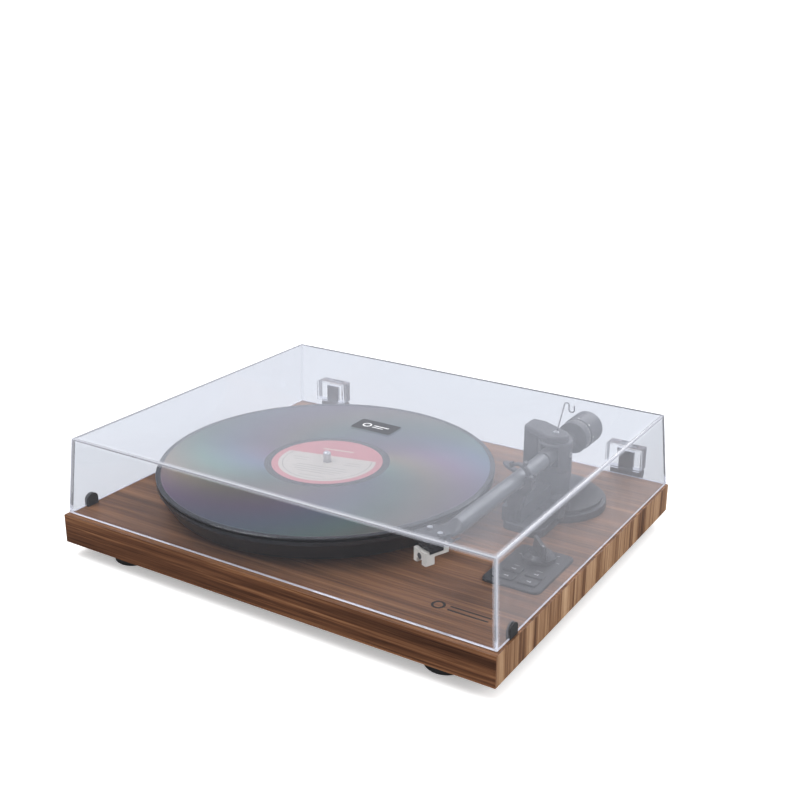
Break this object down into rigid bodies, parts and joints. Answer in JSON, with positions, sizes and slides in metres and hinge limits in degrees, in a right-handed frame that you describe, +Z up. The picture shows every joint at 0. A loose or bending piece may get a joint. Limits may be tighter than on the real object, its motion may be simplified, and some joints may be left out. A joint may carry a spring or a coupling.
{
  "type": "turntable record player",
  "caption": "Belt-drive turntable in a walnut-veneered plinth with a clear hinged dust cover, straight tonearm and a record on the platter.",
  "frame": {"origin": "centre of the bounding box's bottom face, on the surface the feet stand on", "axes": "+Z up, -Y towards the front edge, +X to the right where the tonearm is"},
  "size_m": [0.42, 0.3524, 0.1078],
  "materials": {
    "veneer": "satin walnut veneer",
    "black_metal": "satin black paint",
    "cover_metal": "black paint",
    "platter_metal": "satin black paint",
    "rubber_foot": "moulded",
    "felt": "flat",
    "vinyl": "gloss, grooved",
    "label_paper": "printed",
    "steel": "plain",
    "bright": "polished",
    "tube_metal": "satin",
    "black_plastic": "satin",
    "gloss_black": "gloss",
    "cream": "moulded",
    "clear": "clear",
    "board": "coated",
    "belt_rubber": "flat",
    "gold": "plated"
  },
  "bodies": {
    "plinth": {"deck_panel": "veneer", "front_rail": "veneer", "rear_rail": "veneer", "left_rail": "veneer", "right_rail": "veneer", "bottom_cover": "cover_metal", "cover_screws": "steel", "foot_front_left": "rubber_foot", "foot_front_right": "rubber_foot", "foot_rear_left": "rubber_foot", "foot_rear_right": "rubber_foot", "bearing_housing": "gold", "motor_can": "steel", "motor_screws": "steel", "drive_belt": "belt_rubber", "control_plate": "black_metal", "button_board": "board", "main_board": "board", "jack_panel": "black_plastic", "rca_jacks": "gold", "ground_post": "bright", "dc_jack": "black_plastic", "arm_base": "black_metal", "pivot_tower": "black_metal", "tower_pin": "black_metal", "antiskate_hook": "steel", "rest_post": "black_plastic", "hinge_base_left": "black_plastic", "hinge_base_right": "black_plastic"},
    "platter_body": {"sub_platter": "black_plastic", "spindle_shaft": "steel", "platter": "platter_metal", "slip_mat": "felt", "vinyl_record": "vinyl", "record_label": "label_paper"},
    "motor_rotor": {"motor_pulley": "gold"},
    "knob": {"selector_knob": "black_plastic"},
    "button_a": {"button_rear_left": "black_plastic"},
    "button_b": {"button_rear_right": "black_plastic"},
    "button_c": {"button_front_left": "black_plastic"},
    "button_d": {"button_front_right": "black_plastic"},
    "switch": {"mode_switch": "black_plastic"},
    "gimbal": {"gimbal_housing": "black_metal", "pivot_screws": "steel"},
    "arm": {"arm_barrel": "black_metal", "arm_tube": "tube_metal", "headshell": "black_metal", "headshell_screws": "steel", "finger_lift": "gloss_black", "cartridge_body": "gloss_black", "stylus_assembly": "cream", "weight_shaft": "bright"},
    "dial": {"force_dial": "black_metal"},
    "weight": {"counterweight": "black_metal"},
    "clip": {"rest_clip": "black_plastic"},
    "lever": {"cue_lever": "black_plastic"},
    "lifter": {"cue_lifter": "black_plastic"},
    "lid": {"dust_cover": "clear", "hinge_leaves": "black_plastic", "lid_bumpers": "black_plastic"}
  },
  "joints": [
    {"name": "platter_spin", "type": "hinge", "parent": "plinth", "child": "platter_body", "pos_m": [-0.047, -0.01275, 0.0383], "axis": [0, 0, 1], "continuous": true},
    {"name": "motor_spin", "type": "hinge", "parent": "plinth", "child": "motor_rotor", "pos_m": [-0.11205, 0.0523, 0.0383], "axis": [0, 0, 1], "continuous": true},
    {"name": "selector_turn", "type": "hinge", "parent": "plinth", "child": "knob", "pos_m": [0.1725, -0.03425, 0.0383], "axis": [0, 0, 1], "range_deg": [-45, 45]},
    {"name": "press_a", "type": "slide", "parent": "plinth", "child": "button_a", "axis": [0, 0, -1], "range_m": [0, 0.0009], "stiffness_N_per_m": 600},
    {"name": "press_b", "type": "slide", "parent": "plinth", "child": "button_b", "axis": [0, 0, -1], "range_m": [0, 0.0009], "stiffness_N_per_m": 600},
    {"name": "press_c", "type": "slide", "parent": "plinth", "child": "button_c", "axis": [0, 0, -1], "range_m": [0, 0.0009], "stiffness_N_per_m": 600},
    {"name": "press_d", "type": "slide", "parent": "plinth", "child": "button_d", "axis": [0, 0, -1], "range_m": [0, 0.0009], "stiffness_N_per_m": 600},
    {"name": "mode_slide", "type": "slide", "parent": "plinth", "child": "switch", "axis": [1, 0, 0], "range_m": [0, 0.004]},
    {"name": "arm_swing", "type": "hinge", "parent": "plinth", "child": "gimbal", "pos_m": [0.135, 0.07625, 0.0843], "axis": [0, 0, -1], "range_deg": [0, 46]},
    {"name": "arm_lift", "type": "hinge", "parent": "gimbal", "child": "arm", "pos_m": [0.135, 0.07625, 0.0843], "axis": [-1, 0, 0], "range_deg": [-0.2, 3.2]},
    {"name": "force_slide", "type": "slide", "parent": "arm", "child": "dial", "axis": [0, 1, 0], "range_m": [-0.004, 0.004]},
    {"name": "weight_turn", "type": "hinge", "parent": "dial", "child": "weight", "pos_m": [0.135, 0.13125, 0.0843], "axis": [0, 1, 0], "range_deg": [-360, 360]},
    {"name": "clip_turn", "type": "hinge", "parent": "plinth", "child": "clip", "pos_m": [0.146, 0.00425, 0.0863], "axis": [0, 1, 0], "range_deg": [-24, 12]},
    {"name": "lever_turn", "type": "hinge", "parent": "plinth", "child": "lever", "pos_m": [0.157, 0.04325, 0.0523], "axis": [-1, 0, 0], "range_deg": [0, 50]},
    {"name": "lifter_slide", "type": "slide", "parent": "plinth", "child": "lifter", "axis": [0, 0, 1], "range_m": [-0.003, 0]},
    {"name": "lid_hinge", "type": "hinge", "parent": "plinth", "child": "lid", "pos_m": [0, 0.17175, 0.0413], "axis": [-1, 0, 0], "range_deg": [0, 75]}
  ],
  "couplings": [
    {"joint": "motor_spin", "follows": "platter_spin", "ratio": 10.714},
    {"joint": "force_slide", "follows": "weight_turn", "m_per_rad": 0.00063662},
    {"joint": "lifter_slide", "follows": "lever_turn", "m_per_rad": -0.0034377}
  ]
}
